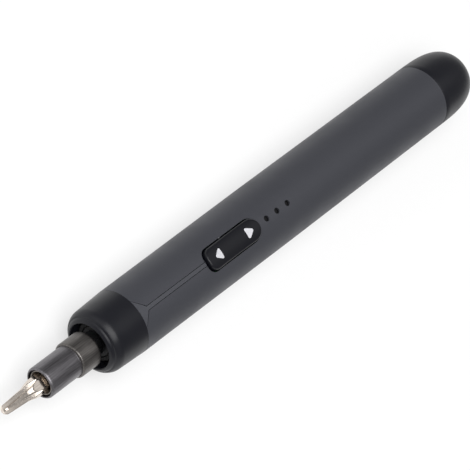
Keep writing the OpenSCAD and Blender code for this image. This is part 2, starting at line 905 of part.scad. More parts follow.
module ring_gear() {
    front = bush_back - 1.2;
    color("#d8d4c6")
        difference() {
            ring(front, ring_back, case_r, bush_r + seat_gap);
            axial(bush_back)
                rotate(180 / ring_teeth)
                    linear_extrude(ring_back - bush_back + cut)
                        polygon(gear_outline(ring_teeth, -addendum, dedendum, -tooth_play));
        }
}

module sun_gear() {
    color("#c9a24f")
        gear(planets_1_front, planets_1_front + planet_w, sun_teeth, motor_shaft_r + 0.01);
}

// One planet of the stage that starts at a station, in its place round the sun
module planet(start, index) {
    axial(start)
        rotate(index * 360 / planet_count)
            translate([planet_orbit, 0, 0])
                rotate(180 / planet_teeth)
                    difference() {
                        linear_extrude(planet_w)
                            polygon(gear_outline(planet_teeth, -dedendum, addendum, tooth_play));
                        translate([0, 0, -cut])
                            cylinder(h = planet_w + 2 * cut, r = planet_pin_r + run_gap,
                                     $fn = pin_fn);
                    }
}

// Pins for the planets, standing on a carrier's rear face
module planet_pins(face) {
    for (i = [0 : planet_count - 1])
        axial(face - 0.5)
            rotate(i * 360 / planet_count)
                translate([planet_orbit, 0, 0])
                    cylinder(h = 0.5 + face_gap + planet_w, r = planet_pin_r, $fn = pin_fn);
}

module planet_1a() {
    color("#e8e5da") planet(planets_1_front, 0);
}

module planet_1b() {
    color("#e8e5da") planet(planets_1_front, 1);
}

module planet_1c() {
    color("#e8e5da") planet(planets_1_front, 2);
}

module planet_2a() {
    color("#b08d57") planet(planets_2_front, 0);
}

module planet_2b() {
    color("#b08d57") planet(planets_2_front, 1);
}

module planet_2c() {
    color("#b08d57") planet(planets_2_front, 2);
}

// First stage's carrier with the second stage's sun in one piece
module carrier() {
    color("#b9babd")
        union() {
            axial(carrier_1_front)
                cylinder(h = carrier_t, r = carrier_r);
            planet_pins(carrier_1_front + carrier_t);
            gear(planets_2_front, carrier_1_front + 0.2, sun_teeth, 0.3);
        }
}

// ---- spindle and chuck ----

// A six-sided prism along the axis with a flat on top
module hexagon(start, end, corner_r) {
    axial(start)
        rotate(30)
            cylinder(h = end - start, r = corner_r, $fn = 6);
}

module spindle() {
    flange_back = carrier_2_front + carrier_t;
    pocket_back = bit_back + face_gap + magnet_l;
    groove_back = bush_front - face_gap + seat_gap;
    groove_front = bush_front - face_gap - retainer_t - seat_gap;
    color("#8b8d91")
        difference() {
            union() {
                turned([[head_front, 0], [head_front, head_r],
                        [collar_back, head_r], [collar_back, spindle_r],
                        [groove_front, spindle_r], [groove_front, groove_r],
                        [groove_back, groove_r], [groove_back, spindle_r],
                        [carrier_2_front, spindle_r], [carrier_2_front, carrier_r],
                        [flange_back, carrier_r], [flange_back, 0]]);
                planet_pins(flange_back);
            }
            hexagon(head_front - cut, bit_back + face_gap, hex_socket_r);
            rod(bit_back, pocket_back, magnet_r + seat_gap);
        }
}

module magnet() {
    color("#55575c")
        rod(bit_back + face_gap, bit_back + face_gap + magnet_l - seat_gap, magnet_r);
}

module spindle_bush() {
    color("#b08d57")
        turned([[bush_front, spindle_r + run_gap], [bush_front, bush_r - 0.2],
                [bush_front + 0.2, bush_r], [bush_back, bush_r],
                [bush_back, spindle_r + run_gap]]);
}

module thrust_washer() {
    color("#c9cacc")
        ring(bush_back, bush_back + washer_t, bush_r - 0.2, spindle_r + 2 * run_gap);
}

// Snap ring in the spindle's groove, in front of the bush
module retaining_ring() {
    back = bush_front - face_gap;
    color("#55575c")
        difference() {
            ring(back - retainer_t, back, retainer_r, groove_r + seat_gap);
            block(back - retainer_t - cut, back + cut, 2 * groove_r * sin(50), -body_r, 0);
        }
}

module chuck_collar() {
    front = -collar_front;
    color("#5b5955")
        turned([[front, sleeve_r + seat_gap], [front, collar_r - collar_chamfer],
                [front + collar_chamfer, collar_r], [collar_back - collar_chamfer, collar_r],
                [collar_back, collar_r - collar_chamfer], [collar_back, head_r + seat_gap],
                [sleeve_end + seat_gap, head_r + seat_gap],
                [sleeve_end + seat_gap, sleeve_r + seat_gap]]);
}

module chuck_sleeve() {
    front = -chuck_front;
    steps = 4;
    color("#505154")
        turned(concat(
            [[front + mouth_gap_depth, sleeve_bore_r], [front, sleeve_bore_r]],
            [for (i = [steps : -1 : 0])
                let (a = 90 * i / steps)
                [front + sleeve_round * (1 - sin(a)),
                 sleeve_r - sleeve_round * (1 - cos(a))]],
            [[sleeve_end, sleeve_r], [sleeve_end, liner_r + seat_gap],
             [front + mouth_gap_depth, liner_r + seat_gap]]));
}

module hex_liner() {
    front = -chuck_front + liner_sink;
    color("#9a9690")
        difference() {
            turned([[front, 0], [front, liner_r - 0.15], [front + 0.15, liner_r],
                    [head_front, liner_r], [head_front, 0]]);
            hexagon(front - cut, head_front + cut, hex_socket_r);
        }
}

// Radius of the bit along its turned part; t runs from the hexagon (0) to the tip (1)
function shoulder_blend(t) = (1 + cos(180 * t)) / 2;

module screw_bit() {
    corner_r = bit_af / 2 / cos(30);
    hex_front = -chuck_front - bit_hex_out;
    shoulder_l = 4.6;
    blade_start = hex_front - shoulder_l;
    steps = 8;
    flute_start = bit_tip;
    flute_low = blade_w / 2 + 0.12;
    flute_rise = atan2(blade_root_r - flute_low, hex_front - 1.2 - bit_tip);
    color("#b5aaa0")
        difference() {
            intersection() {
                hexagon(bit_tip - cut, bit_back, corner_r);
                turned(concat(
                    [[bit_tip, 0], [bit_tip, blade_tip_r * 0.5],
                     [bit_tip + 0.35, blade_tip_r * 0.82], [bit_tip + 0.9, blade_tip_r]],
                    [for (i = [steps : -1 : 0])
                        let (t = i / steps)
                        [hex_front - shoulder_l * t,
                         blade_root_r + (corner_r - blade_root_r) * shoulder_blend(t)]],
                    [[bit_back - 0.4, corner_r], [bit_back, corner_r - 0.4], [bit_back, 0]]));
            }
            for (quarter = [0 : 3])
                axial(flute_start)
                    rotate(45 + 90 * quarter)
                        translate([flute_low, 0, 0])
                            rotate([0, flute_rise, 0])
                                translate([0, 0, -1])
                                    linear_extrude(14)
                                        polygon([[0, 0], [4, 4.2], [4, -4.2]]);
        }
}

body_shell();
chassis();
nose_cap();
tail_cap();
nose_seal();
usb_shell();
usb_tongue();
charge_board();
charge_leads();
circuit_board();
board_chips();
board_screws();
indicator_leds();
light_pipe();
snap_domes();
pivot_pin();
rocker_button();
arrow_inlays();
cell();
cell_tabs();
motor_can();
motor_end();
motor_terminals();
motor_plate();
motor_screws();
ring_gear();
spindle_bush();
motor_shaft();
sun_gear();
planet_1a();
planet_1b();
planet_1c();
carrier();
planet_2a();
planet_2b();
planet_2c();
spindle();
thrust_washer();
retaining_ring();
chuck_collar();
chuck_sleeve();
hex_liner();
magnet();
screw_bit();
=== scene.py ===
"""Looks of a pen-shaped electric torque screwdriver: finishes, turned caps and chuck, rocker
button, indicator lenses, screw bit and a plain studio. Lengths are in millimetres until a mesh
is made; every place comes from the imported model's boxes."""
import json
import math

import bmesh
import bpy
from mathutils import Matrix, Vector

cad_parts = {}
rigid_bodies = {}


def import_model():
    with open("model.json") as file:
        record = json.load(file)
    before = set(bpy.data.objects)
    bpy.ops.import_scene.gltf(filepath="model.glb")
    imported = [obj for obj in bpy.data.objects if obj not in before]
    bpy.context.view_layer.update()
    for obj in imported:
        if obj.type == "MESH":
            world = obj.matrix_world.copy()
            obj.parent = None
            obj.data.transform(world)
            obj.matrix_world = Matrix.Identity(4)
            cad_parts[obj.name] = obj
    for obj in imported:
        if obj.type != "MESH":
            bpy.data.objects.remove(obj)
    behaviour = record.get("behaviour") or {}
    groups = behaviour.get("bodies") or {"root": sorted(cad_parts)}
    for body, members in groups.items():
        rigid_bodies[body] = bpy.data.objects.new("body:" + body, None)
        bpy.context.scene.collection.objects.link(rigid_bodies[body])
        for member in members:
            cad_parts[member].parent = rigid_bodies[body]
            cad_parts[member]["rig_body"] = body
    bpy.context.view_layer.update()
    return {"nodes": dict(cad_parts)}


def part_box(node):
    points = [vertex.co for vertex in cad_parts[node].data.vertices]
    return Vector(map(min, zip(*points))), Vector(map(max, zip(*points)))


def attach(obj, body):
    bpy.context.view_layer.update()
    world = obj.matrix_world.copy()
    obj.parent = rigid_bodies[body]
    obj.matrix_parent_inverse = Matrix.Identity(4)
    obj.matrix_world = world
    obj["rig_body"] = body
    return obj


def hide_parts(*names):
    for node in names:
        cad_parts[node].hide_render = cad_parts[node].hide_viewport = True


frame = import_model()

bl_info = {
    "name": "Torque Screwdriver Looks",
    "version": (1, 0, 0),
    "blender": (4, 5, 0),
    "location": "View3D > Sidebar > Screwdriver",
    "description": "Builds the visible pieces, finishes and studio of an electric screwdriver",
    "category": "Object",
}

MM = 0.001
SIDES = 192


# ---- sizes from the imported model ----

def span(node):
    """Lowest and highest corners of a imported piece, in millimetres."""
    low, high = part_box(node)
    return low / MM, high / MM


TUBE_LOW, TUBE_HIGH = span("body_shell")
AXIS = (TUBE_LOW.z + TUBE_HIGH.z) / 2
TUBE_R = (TUBE_HIGH.z - TUBE_LOW.z) / 2
NOSE_JOINT = TUBE_LOW.x
TAIL_JOINT = TUBE_HIGH.x


def radius_of(node):
    """Radius of a turned piece about the tool's axis."""
    low, high = span(node)
    return (high.y - low.y) / 2


# ---- colours and finishes ----

def srgb(code):
    """Linear colour of an sRGB hex code."""
    values = [int(code[i:i + 2], 16) / 255 for i in (1, 3, 5)]
    return tuple(v / 12.92 if v <= 0.04045 else ((v + 0.055) / 1.055) ** 2.4 for v in values)


def put(tree, kind, inputs=(), **settings):
    """Adds a node with its settings, its constants and its links."""
    node = tree.nodes.new(kind)
    for name, value in settings.items():
        setattr(node, name, value)
    for name, value in dict(inputs).items():
        if isinstance(value, bpy.types.NodeSocket):
            tree.links.new(value, node.inputs[name])
        else:
            node.inputs[name].default_value = value
    return node


def surface(name, colour, roughness, grain, depth, stretch=(1, 1, 1), tint=0.05, wander=0.05,
            cloud=7.0, **sockets):
    """A finish whose grain (mm) gives bump and slight colour, and whose cloud (mm) gives wear.

    stretch draws the grain out along an axis, as brushing or turning does; depth is the bump's
    height in mm; wander is how far the roughness strays from its value."""
    material = bpy.data.materials.new(name)
    material.use_nodes = True
    tree = material.node_tree
    tree.nodes.clear()
    place = put(tree, "ShaderNodeTexCoord").outputs["Object"]
    drawn = put(tree, "ShaderNodeMapping", {"Vector": place,
                "Scale": [1 / s for s in stretch]}).outputs["Vector"]
    fine = put(tree, "ShaderNodeTexNoise", {"Vector": drawn, "Scale": 1 / (grain * MM),
               "Detail": 3.0, "Roughness": 0.6}).outputs["Fac"]
    broad = put(tree, "ShaderNodeTexNoise", {"Vector": place, "Scale": 1 / (cloud * MM),
                "Detail": 2.0}).outputs["Fac"]
    ramp = put(tree, "ShaderNodeValToRGB", {"Fac": fine})
    ramp.color_ramp.elements[0].position = 0.25
    ramp.color_ramp.elements[1].position = 0.75
    for element, share in zip(ramp.color_ramp.elements, (1 - tint, 1 + tint)):
        element.color = [min(c * share, 1) for c in colour] + [1]
    rough = put(tree, "ShaderNodeMapRange", {"Value": broad, "From Min": 0.3, "From Max": 0.7,
                "To Min": max(roughness - wander, 0.02), "To Max": min(roughness + wander, 1)})
    bump = put(tree, "ShaderNodeBump", {"Height": fine, "Strength": 0.6, "Distance": depth * MM})
    shader = put(tree, "ShaderNodeBsdfPrincipled", {"Base Color": ramp.outputs["Color"],
                 "Roughness": rough.outputs["Result"], "Normal": bump.outputs["Normal"]})
    for label, value in sockets.items():
        shader.inputs[label.replace("_", " ")].default_value = value
    put(tree, "ShaderNodeOutputMaterial", {"Surface": shader.outputs["BSDF"]})
    return material


# Each finish: sRGB colour, roughness, grain in mm, bump depth in mm, and what else it needs.
# The comment beside each says what it gives the eye.
FINISHES = {
    # Bead-blasted grey anodising: even satin sheen that pales towards grazing edges
    "blasted_anodised_aluminium": ("#3d3e44", 0.5, 0.22, 0.004,
                                   {"Metallic": 0.15, "Specular_IOR_Level": 0.42}),
    # Spark-eroded black ABS of the caps: soft broad highlights on near black
    "moulded_black_abs": ("#101118", 0.38, 0.3, 0.003, {"Specular_IOR_Level": 0.32}),
    # Dull nitrile of the dust seal: swallows light in the recess
    "black_nitrile_rubber": ("#0d0d0f", 0.75, 0.4, 0.006, {}),
    # Polished black ABS of the rocker: tight highlight along its rolled edge
    "polished_black_abs": ("#0b0c13", 0.32, 0.5, 0.001, {"Specular_IOR_Level": 0.32}),
    # Second-shot white ABS of the arrows: clean and slightly satin
    "white_abs_inlay": ("#cfcfd4", 0.42, 0.4, 0.002, {}),
    # Glass-filled nylon of the chassis: matt grey, level in tone with the tube
    "glass_filled_nylon": ("#3f4046", 0.52, 0.25, 0.005, {"Specular_IOR_Level": 0.42}),
    # Black-nickel plated steel, drawn lengthwise: dark streaks along the sleeve
    "drawn_black_nickel_steel": ("#737174", 0.38, 0.2, 0.012,
                                 {"Metallic": 1.0, "stretch": (24, 1, 1), "tint": 0.4}),
    # The same plating over the brushed collar: broader, warmer streaks than the sleeve's
    "brushed_black_nickel_steel": ("#6a6765", 0.38, 0.34, 0.012,
                                   {"Metallic": 1.0, "stretch": (18, 1, 1), "tint": 0.42}),
    # Bare ground steel of the hexagon liner: pale rim inside the dark sleeve
    "ground_steel": ("#8f8a84", 0.34, 0.12, 0.003,
                     {"Metallic": 1.0, "stretch": (1, 30, 30), "tint": 0.12}),
    # Nickel-plated tool steel of the bit: warm, bright, lightly drawn
    "nickel_plated_bit_steel": ("#ded4ca", 0.2, 0.3, 0.004,
                                {"Metallic": 1.0, "stretch": (20, 1, 1), "tint": 0.2}),
    # Ground steel of shafts, pins and rings: cool and bright, with faint turning rings
    "ground_spindle_steel": ("#8e8f93", 0.28, 0.1, 0.002,
                             {"Metallic": 1.0, "stretch": (1, 30, 30), "tint": 0.1}),
    # Black-oxide spring steel of the retaining ring: keeps the recess dark
    "black_oxide_spring_steel": ("#1c1c1e", 0.5, 0.2, 0.003, {"Metallic": 0.4}),
    # Zinc-plated screws: cool grey with a slight bloom
    "zinc_plated_steel": ("#a3a5a8", 0.38, 0.3, 0.003, {"Metallic": 1.0, "tint": 0.12}),
    # Tinned pressed sheet of socket, tabs and domes: pale and nearly mirror-like
    "tinned_sheet": ("#c3c4c6", 0.3, 0.5, 0.002, {"Metallic": 1.0}),
    # Deep-drawn motor can: soft draw marks along its length
    "drawn_motor_can": ("#a9aaac", 0.34, 0.2, 0.003,
                        {"Metallic": 1.0, "stretch": (25, 1, 1), "tint": 0.1}),
    # Oil-soaked sintered bronze of the bush: dark brown, open grain
    "sintered_bronze": ("#3f3122", 0.45, 0.15, 0.005, {"Metallic": 1.0, "tint": 0.2}),
    # Stamped brass of the solder tags: small yellow glints
    "stamped_brass": ("#c9a25a", 0.3, 0.3, 0.002, {"Metallic": 1.0}),
    # Natural acetal of the gears: milky and waxy
    "natural_acetal": ("#e6e2d6", 0.4, 0.4, 0.002, {"Subsurface_Weight": 0.1,
                                                   "Subsurface_Scale": 0.002}),
    # Cream nylon of the end bell: dull and warm
    "cream_nylon": ("#d9cfae", 0.48, 0.35, 0.003, {}),
    # Solder mask over glass cloth: the weave shows faintly through the green
    "green_solder_mask": ("#1d5c3a", 0.3, 0.45, 0.004, {"tint": 0.2}),
    # Moulded epoxy of the chips: flat black that hardly shines
    "moulded_epoxy": ("#1f2023", 0.6, 0.2, 0.003, {}),
    # Heat-shrunk PVC round the cell: glossy blue with slow ripples
    "shrunk_pvc_sleeve": ("#2f5d9a", 0.3, 1.5, 0.01, {}),
    # PVC insulation of the leads: soft red sheen
    "red_pvc_insulation": ("#a8332c", 0.38, 0.6, 0.003, {}),
    # Cast epoxy of the indicator lamps: clear gloss over a pale body
    "cast_lamp_epoxy": ("#e9e4c8", 0.2, 0.5, 0.001, {}),
    # Smoked polycarbonate light pipe: looks black until it is lit
    "smoked_polycarbonate": ("#050507", 0.35, 0.8, 0.001, {"Specular_IOR_Level": 0.25}),
    # Nickel plating of the magnet: close to a mirror
    "nickel_plated_magnet": ("#b9babb", 0.22, 0.4, 0.002, {"Metallic": 1.0}),
}

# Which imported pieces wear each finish
WORN_BY = {
    "blasted_anodised_aluminium": ["body_shell"],
    "moulded_black_abs": ["nose_cap", "tail_cap"],
    "black_nitrile_rubber": ["nose_seal"],
    "glass_filled_nylon": ["chassis"],
    "tinned_sheet": ["usb_shell", "snap_domes", "cell_tabs"],
    "moulded_epoxy": ["usb_tongue", "board_chips"],
    "green_solder_mask": ["charge_board", "circuit_board"],
    "red_pvc_insulation": ["charge_leads"],
    "zinc_plated_steel": ["board_screws", "motor_screws"],
    "cast_lamp_epoxy": ["indicator_leds"],
    "smoked_polycarbonate": ["light_pipe"],
    "polished_black_abs": ["rocker_button"],
    "white_abs_inlay": ["arrow_inlays"],
    "shrunk_pvc_sleeve": ["cell"],
    "drawn_motor_can": ["motor_can"],
    "cream_nylon": ["motor_end"],
    "stamped_brass": ["motor_terminals"],
    "ground_spindle_steel": ["motor_plate", "motor_shaft", "spindle", "carrier", "pivot_pin",
                             "thrust_washer"],
    "black_oxide_spring_steel": ["retaining_ring"],
    "natural_acetal": ["ring_gear", "sun_gear", "planet_1a", "planet_1b", "planet_1c",
                       "planet_2a", "planet_2b", "planet_2c"],
    "sintered_bronze": ["spindle_bush"],
    "brushed_black_nickel_steel": ["chuck_collar"],
    "drawn_black_nickel_steel": ["chuck_sleeve"],
    "ground_steel": ["hex_liner"],
    "nickel_plated_magnet": ["magnet"],
    "nickel_plated_bit_steel": ["screw_bit"],
}


def finish(name):
    """The named finish, made once. The four main colours come from the panel."""
    if name in bpy.data.materials:
        return bpy.data.materials[name]
    code, roughness, grain, depth, more = FINISHES[name]
    looks = bpy.context.scene.screwdriver_looks
    chosen = {"blasted_anodised_aluminium": looks.body_colour,
              "moulded_black_abs": looks.cap_colour,
              "polished_black_abs": looks.button_colour,
              "white_abs_inlay": looks.arrow_colour}
    colour = tuple(chosen.get(name, srgb(code)))
    return surface(name, colour, roughness, grain, depth, **more)


# ---- mesh making ----

def skin(rings, loop=False):
    """Joins rings of points (mm), each a closed outline or a single pole, into one surface."""
    mesh = bmesh.new()
    rows = [[mesh.verts.new(Vector(point) * MM) for point in ring] for ring in rings]
    for a, b in zip(rows, rows[1:] + (rows[:1] if loop else [])):
        for i in range(max(len(a), len(b))):
            corners = [a[i % len(a)], a[(i + 1) % len(a)], b[(i + 1) % len(b)], b[i % len(b)]]
            corners = list(dict.fromkeys(corners))
            if len(corners) > 2:
                mesh.faces.new(corners)
    bmesh.ops.recalc_face_normals(mesh, faces=mesh.faces)
    return mesh


def rolled(points, steps=5):
    """A profile of (station, radius, rounding) points with each corner eased by its rounding."""
    out = []
    for i, (x, r, ease) in enumerate(points):
        here = Vector((x, r))
        if not ease:
            out.append(here)
            continue
        before = Vector(points[i - 1][:2]) - here
        after = Vector(points[(i + 1) % len(points)][:2]) - here
        start = here + before.normalized() * min(ease, before.length * 0.49)
        end = here + after.normalized() * min(ease, after.length * 0.49)
        for step in range(steps + 1):
            s = step / steps
            out.append(start * (1 - s) ** 2 + here * 2 * s * (1 - s) + end * s * s)
    return out


def turned(profile, sides=SIDES):
    """Turns a profile of (x, radius) points about the tool's axis."""
    rings = []
    for x, r in profile:
        if r < 1e-6:
            rings.append([(x, 0, AXIS)])
            continue
        turns = [2 * math.pi * i / sides for i in range(sides)]
        rings.append([(x, r * math.sin(a), AXIS + r * math.cos(a)) for a in turns])
    return skin(rings, loop=profile[0][1] > 1e-6)


def piece(name, mesh, node, finish_name, sharp=32):
    """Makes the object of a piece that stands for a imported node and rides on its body."""
    data = bpy.data.meshes.new(name)
    mesh.to_mesh(data)
    mesh.free()
    if not data.polygons:
        raise RuntimeError(f"{name} came out with no faces")
    made = bpy.data.objects.new(name, data)
    bpy.context.scene.collection.objects.link(made)
    data.materials.append(finish(finish_name))
    data.shade_smooth()
    data.set_sharp_from_angle(angle=math.radians(sharp))
    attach(made, frame["nodes"][node]["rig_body"])
    return made


def settle(made):
    """Turns a piece's live modifiers into its own plain mesh."""
    bpy.context.view_layer.update()
    ready = made.evaluated_get(bpy.context.evaluated_depsgraph_get())
    data = bpy.data.meshes.new_from_object(ready)
    made.modifiers.clear()
    made.data = data
    return data


def capsule(half_w, half_h, grow=0.0, steps=24):
    """Outline with round ends, (side, height) points, wider than it is high."""
    reach, r = half_w - half_h, half_h + grow
    points = []
    for turn in range(2 * steps):
        a = math.pi * turn / steps - math.pi / 2
        points.append((math.copysign(reach, math.cos(a) + 1e-9) + r * math.cos(a),
                       r * math.sin(a)))
    return points


def rounded(corners, soft, arc_steps=8, side_steps=12):
    """Outline round the centres of its corners, soft being their radius.

    Its straight sides have points of their own, so that it can follow a curved surface."""
    points = []
    for i, here in enumerate(corners):
        here = Vector(here)
        before = here - Vector(corners[i - 1])
        after = Vector(corners[(i + 1) % len(corners)]) - here
        out = 1 if before.x * after.y - before.y * after.x > 0 else -1
        a0 = math.atan2(-before.x * out, before.y * out)
        a1 = math.atan2(-after.x * out, after.y * out)
        turn = (a1 - a0 + math.pi) % (2 * math.pi) - math.pi
        bend = [here + Vector((math.cos(a0 + turn * step / arc_steps),
                               math.sin(a0 + turn * step / arc_steps))) * soft
                for step in range(arc_steps + 1)]
        if points:
            last = points[-1]
            points += [last.lerp(bend[0], step / side_steps) for step in range(1, side_steps)]
        points += bend
    last = points[-1]
    return points + [last.lerp(points[0], step / side_steps) for step in range(1, side_steps)]


def joined(meshes):
    """Adds every later mesh to the first one."""
    first, *others = meshes
    for mesh in others:
        spare = bpy.data.meshes.new("spare")
        mesh.to_mesh(spare)
        mesh.free()
        first.from_mesh(spare)
        bpy.data.meshes.remove(spare)
    return first


# ---- settings a user would change ----

class ScrewdriverLooks(bpy.types.PropertyGroup):
    body_colour: bpy.props.FloatVectorProperty(
        name="Body", description="Colour of the anodised body tube", subtype="COLOR",
        size=3, min=0, max=1, default=srgb("#3d3e44"))
    cap_colour: bpy.props.FloatVectorProperty(
        name="Caps", description="Colour of the nose and tail caps", subtype="COLOR",
        size=3, min=0, max=1, default=srgb("#101118"))
    button_colour: bpy.props.FloatVectorProperty(
        name="Button", description="Colour of the rocker button", subtype="COLOR",
        size=3, min=0, max=1, default=srgb("#0b0c13"))
    arrow_colour: bpy.props.FloatVectorProperty(
        name="Arrows", description="Colour of the two arrows", subtype="COLOR",
        size=3, min=0, max=1, default=srgb("#cfcfd4"))
    lip_rounding: bpy.props.FloatProperty(
        name="Lip rounding", description="Length of the nose lip's rounding along the tool",
        default=3.44 * MM, min=2 * MM, max=4 * MM, unit="LENGTH")
    recess_mouth: bpy.props.FloatProperty(
        name="Recess mouth", description="Radius of the recess round the chuck",
        default=6.1 * MM, min=5.6 * MM, max=6.4 * MM, unit="LENGTH")
    dome_squareness: bpy.props.FloatProperty(
        name="Dome squareness", description="Curve of the tail dome; 2 is an ellipse",
        default=3.3, min=2, max=4)
    button_edge: bpy.props.FloatProperty(
        name="Button edge", description="Rounding of the rocker button's upper edge",
        default=0.45 * MM, min=0.1 * MM, max=0.8 * MM, unit="LENGTH")
    bit_softness: bpy.props.FloatProperty(
        name="Bit edge softness", description="How far the bit's ground edges are eased",
        default=0.07 * MM, min=0.01 * MM, max=0.2 * MM, unit="LENGTH")
    camera_distance: bpy.props.FloatProperty(
        name="Camera distance", description="From the middle of the tool to the camera",
        default=0.6491, min=0.3, max=2, unit="LENGTH")
    camera_lens: bpy.props.FloatProperty(
        name="Lens", description="Focal length in millimetres", default=208.8, min=50,
        max=300, unit="CAMERA")
    overhead_power: bpy.props.FloatProperty(
        name="Overhead lamp", description="Power of the soft lamp above the tool",
        default=11.0, min=0, max=50, unit="POWER")


# ---- operators ----

class FinishPackedPieces(bpy.types.Operator):
    """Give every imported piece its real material"""
    bl_idname = "screwdriver.finish_packed"
    bl_label = "Finish packed pieces"

    def execute(self, context):
        dressed = set()
        for name, nodes in WORN_BY.items():
            for node in nodes:
                for slot in frame["nodes"][node].material_slots:
                    slot.material = finish(name)
                dressed.add(node)
        missed = set(frame["nodes"]) - dressed
        if missed:
            raise RuntimeError(f"no finish is given to {sorted(missed)}")
        return {"FINISHED"}


class NoseCap(bpy.types.Operator):
    """Turn the black nose cap with its rolled lip, a soft channel in the lip's face and the
    recess
    """
    bl_idname = "screwdriver.nose_cap"
    bl_label = "Nose cap"

    def execute(self, context):
        looks = context.scene.screwdriver_looks
        low, high = span("nose_cap")
        joint_r = radius_of("nose_cap")
        mouth_r = looks.recess_mouth / MM
        seal_back = span("nose_seal")[1].x
        floor_r = radius_of("nose_seal") + 0.1
        bush_r = radius_of("spindle_bush") + 0.03
        wall, bush_reach, steps = 1.1, 1.5, 44
        lip_r, reach_in = joint_r - 0.34, 3.87
        # The mouth cuts the rounding off before its crown, so that only this share shows
        lip_share = 0.885
        lip_x = low.x + looks.lip_rounding / MM * lip_share
        angle = math.acos((mouth_r - lip_r + reach_in) / reach_in)
        lip_l = (lip_x - low.x) / math.sin(angle)
        channel_r, channel_w, channel_depth = 7.05, 0.22, 0.22
        profile = [(high.x, joint_r - 0.02, 0.06), (lip_x, lip_r, 0)]
        for i in range(1, steps + 1):
            a = angle * i / steps
            r = lip_r - reach_in * (1 - math.cos(a))
            dip = channel_depth * math.exp(-((r - channel_r) / channel_w) ** 2)
            profile.append((lip_x - lip_l * math.sin(a) + dip, r, 0))
        profile += [(low.x + 0.12, mouth_r - 0.22, 0.12), (low.x + 0.6, mouth_r - 0.36, 0.15),
                    (seal_back, floor_r, 0.15), (seal_back, bush_r, 0.05),
                    (seal_back + bush_reach, bush_r, 0),
                    (seal_back + bush_reach, joint_r - wall, 0), (high.x, joint_r - wall, 0)]
        made = piece("nose_cap_turned", turned(rolled(profile)), "nose_cap",
                     "moulded_black_abs")
        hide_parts("nose_cap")
        return {"FINISHED"}


class TailCap(bpy.types.Operator):
    """Turn the domed tail cap and open its charging socket"""
    bl_idname = "screwdriver.tail_cap"
    bl_label = "Tail cap"

    def execute(self, context):
        power = context.scene.screwdriver_looks.dome_squareness
        low, high = span("tail_cap")
        end = high.x + 0.02
        shoulder = low.x + 0.2
        wall, inner_r, core_r = 1.6, TUBE_R - 1.35, 0.15
        steps = 72

        def dome(length, radius):
            """Points from the shoulder to the crown, closer together where it turns."""
            return [(shoulder + length * math.sin(a) ** (2 / power),
                     radius * math.cos(a) ** (2 / power))
                    for a in (math.pi / 2 * i / steps for i in range(steps))]

        outer = dome(end - shoulder, TUBE_R)
        inner = dome(end - shoulder - wall, inner_r)
        profile = [(low.x, TUBE_R - 0.03), (low.x + 0.05, TUBE_R)] + outer[1:]
        profile += [(end, core_r), (end - wall, core_r)] + inner[:0:-1] + [(low.x, inner_r)]
        made = piece("tail_cap_domed", turned(profile), "tail_cap",
                     "moulded_black_abs")
        shell_low, shell_high = span("usb_shell")
        half_w = (shell_high.y - shell_low.y) / 2
        half_h = (shell_high.z - shell_low.z) / 2
        # The socket flares out where it meets the dome
        stations = [(shell_low.x - 4, 0.03), (end - 0.45, 0.03), (end - 0.25, 0.12),
                    (end - 0.08, 0.3), (end + 0.6, 1.1)]
        cutter_rings = [[(x, y, AXIS + z) for y, z in capsule(half_w, half_h, grow)]
                        for x, grow in stations]
        poles = [[(x, 0, AXIS)] for x, grow in (stations[0], stations[-1])]
        cutter_mesh = skin(poles[:1] + cutter_rings + poles[1:])
        data = bpy.data.meshes.new("socket_cutter")
        cutter_mesh.to_mesh(data)
        cutter_mesh.free()
        cutter = bpy.data.objects.new("socket_cutter", data)
        context.scene.collection.objects.link(cutter)
        cut = made.modifiers.new("socket", "BOOLEAN")
        cut.operation = "DIFFERENCE"
        cut.solver = "EXACT"
        cut.object = cutter
        data = settle(made)
        bpy.data.objects.remove(cutter)
        data.set_sharp_from_angle(angle=math.radians(32))
        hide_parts("tail_cap")
        return {"FINISHED"}


